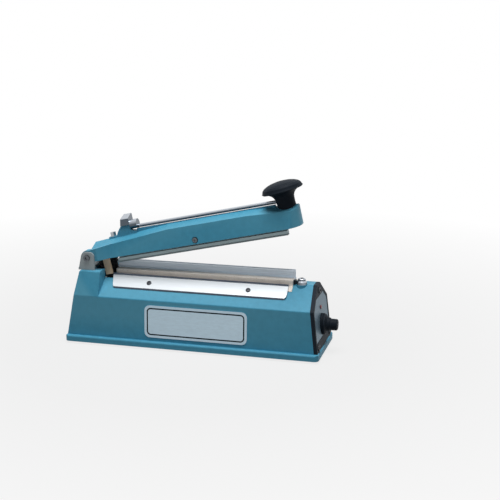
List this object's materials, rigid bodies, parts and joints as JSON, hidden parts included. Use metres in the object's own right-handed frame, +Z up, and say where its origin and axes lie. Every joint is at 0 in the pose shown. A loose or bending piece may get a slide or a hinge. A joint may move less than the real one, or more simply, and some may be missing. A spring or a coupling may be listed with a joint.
{
  "type": "impulse heat sealer",
  "caption": "Hand-operated impulse heat sealer: cast base with timer knob, hinged pressing arm with mushroom handle, sealing jaws and a sliding bag cutter.",
  "frame": {"origin": "centre of the rectangular footprint, on the surface that the rubber feet stand on", "axes": "+Z up; +X along the base, from the hinge towards the timer knob; -Y towards the operator"},
  "size_m": [0.3059, 0.09, 0.1914],
  "materials": {
    "teal_enamel": "fine hammered enamel",
    "plated_steel": "zinc plated",
    "hinge_steel": "grey, satin",
    "black_rubber": "matt",
    "black_plastic": "satin",
    "white_plastic": "satin",
    "label_foil": "satin foil",
    "nameplate_foil": "satin foil with a dark border line",
    "dark_screw": "blackened",
    "lamp_red": "clear red",
    "aluminium_bar": "extruded",
    "jaw_aluminium": "extruded",
    "clamp_aluminium": "bright rolled",
    "glass_cloth_tape": "woven tape",
    "ptfe_cloth": "coated cloth",
    "nichrome": "rolled ribbon",
    "brass": "machined",
    "chrome": "polished",
    "spring_steel": "drawn wire",
    "core_steel": "stacked laminations",
    "copper_winding": "enamelled copper wire",
    "circuit_board": "solder resist",
    "capacitor_sleeve": "sleeved",
    "silicone": "matt grey",
    "phenolic_board": "paper laminate",
    "blade_steel": "ground"
  },
  "bodies": {
    "base": {"base_housing": "teal_enamel", "bottom_plate": "plated_steel", "bottom_plate_screws": "plated_steel", "rubber_feet": "black_rubber", "end_panel": "black_plastic", "end_label": "label_foil", "end_panel_screws": "dark_screw", "lamp_holder": "black_plastic", "indicator_lens": "lamp_red", "nameplate": "nameplate_foil", "lower_jaw_bar": "aluminium_bar", "jaw_bar_screws": "plated_steel", "insulating_strip": "glass_cloth_tape", "heating_element": "nichrome", "ptfe_cover": "ptfe_cloth", "rear_rail": "aluminium_bar", "clamp_plate": "clamp_aluminium", "clamp_plate_screws": "dark_screw", "element_anchor": "brass", "terminal_insulator": "black_plastic", "terminal_cup_washer": "chrome", "terminal_screw": "chrome", "hinge_bracket": "hinge_steel", "hinge_bracket_screws": "plated_steel", "hinge_pin": "dark_screw", "switch_bracket": "plated_steel", "switch_bracket_screws": "plated_steel", "microswitch": "black_plastic", "spring_boot": "black_rubber", "return_spring": "spring_steel", "transformer_core": "core_steel", "transformer_coil": "copper_winding", "transformer_strap": "plated_steel", "transformer_screws": "plated_steel", "timer_board": "circuit_board", "board_standoffs": "brass", "board_relay": "black_plastic", "board_capacitors": "capacitor_sleeve", "potentiometer": "plated_steel", "cord_gland": "black_plastic", "mains_terminal_strip": "white_plastic"},
    "arm": {"arm_casting": "teal_enamel", "upper_jaw_bar": "jaw_aluminium", "silicone_pad": "silicone", "jaw_bolt": "dark_screw", "handle_knob": "black_plastic", "handle_stud": "plated_steel", "guide_rod": "chrome", "rod_post": "teal_enamel", "rod_post_bolt": "plated_steel", "push_plate": "phenolic_board", "push_plate_screws": "plated_steel"},
    "cutter": {"cutter_carriage": "chrome", "carriage_bush": "chrome", "cutter_blade": "blade_steel", "blade_screws": "plated_steel"},
    "timer_dial": {"timer_knob": "black_plastic", "pot_shaft": "plated_steel"},
    "switch_button": {"switch_plunger": "white_plastic"}
  },
  "joints": [
    {"name": "arm_hinge", "type": "hinge", "parent": "base", "child": "arm", "pos_m": [-0.1237, 0, 0.0965], "axis": [0, 1, 0], "range_deg": [0, 12.3], "stiffness_Nm_per_rad": 3, "springref_deg": -28.65, "deforming": ["return_spring"]},
    {"name": "cutter_slide", "type": "slide", "parent": "arm", "child": "cutter", "axis": [0.977, 0, 0.213], "range_m": [0, 0.15]},
    {"name": "timer_turn", "type": "hinge", "parent": "base", "child": "timer_dial", "pos_m": [0.14, 0, 0.032], "axis": [1, 0, 0], "range_deg": [-135, 135]},
    {"name": "switch_press", "type": "slide", "parent": "base", "child": "switch_button", "axis": [0, 0, -1], "range_m": [0, 0.0012]}
  ],
  "couplings": [
    {"joint": "switch_press", "follows": "arm_hinge", "m_per_rad": 0.00558}
  ]
}
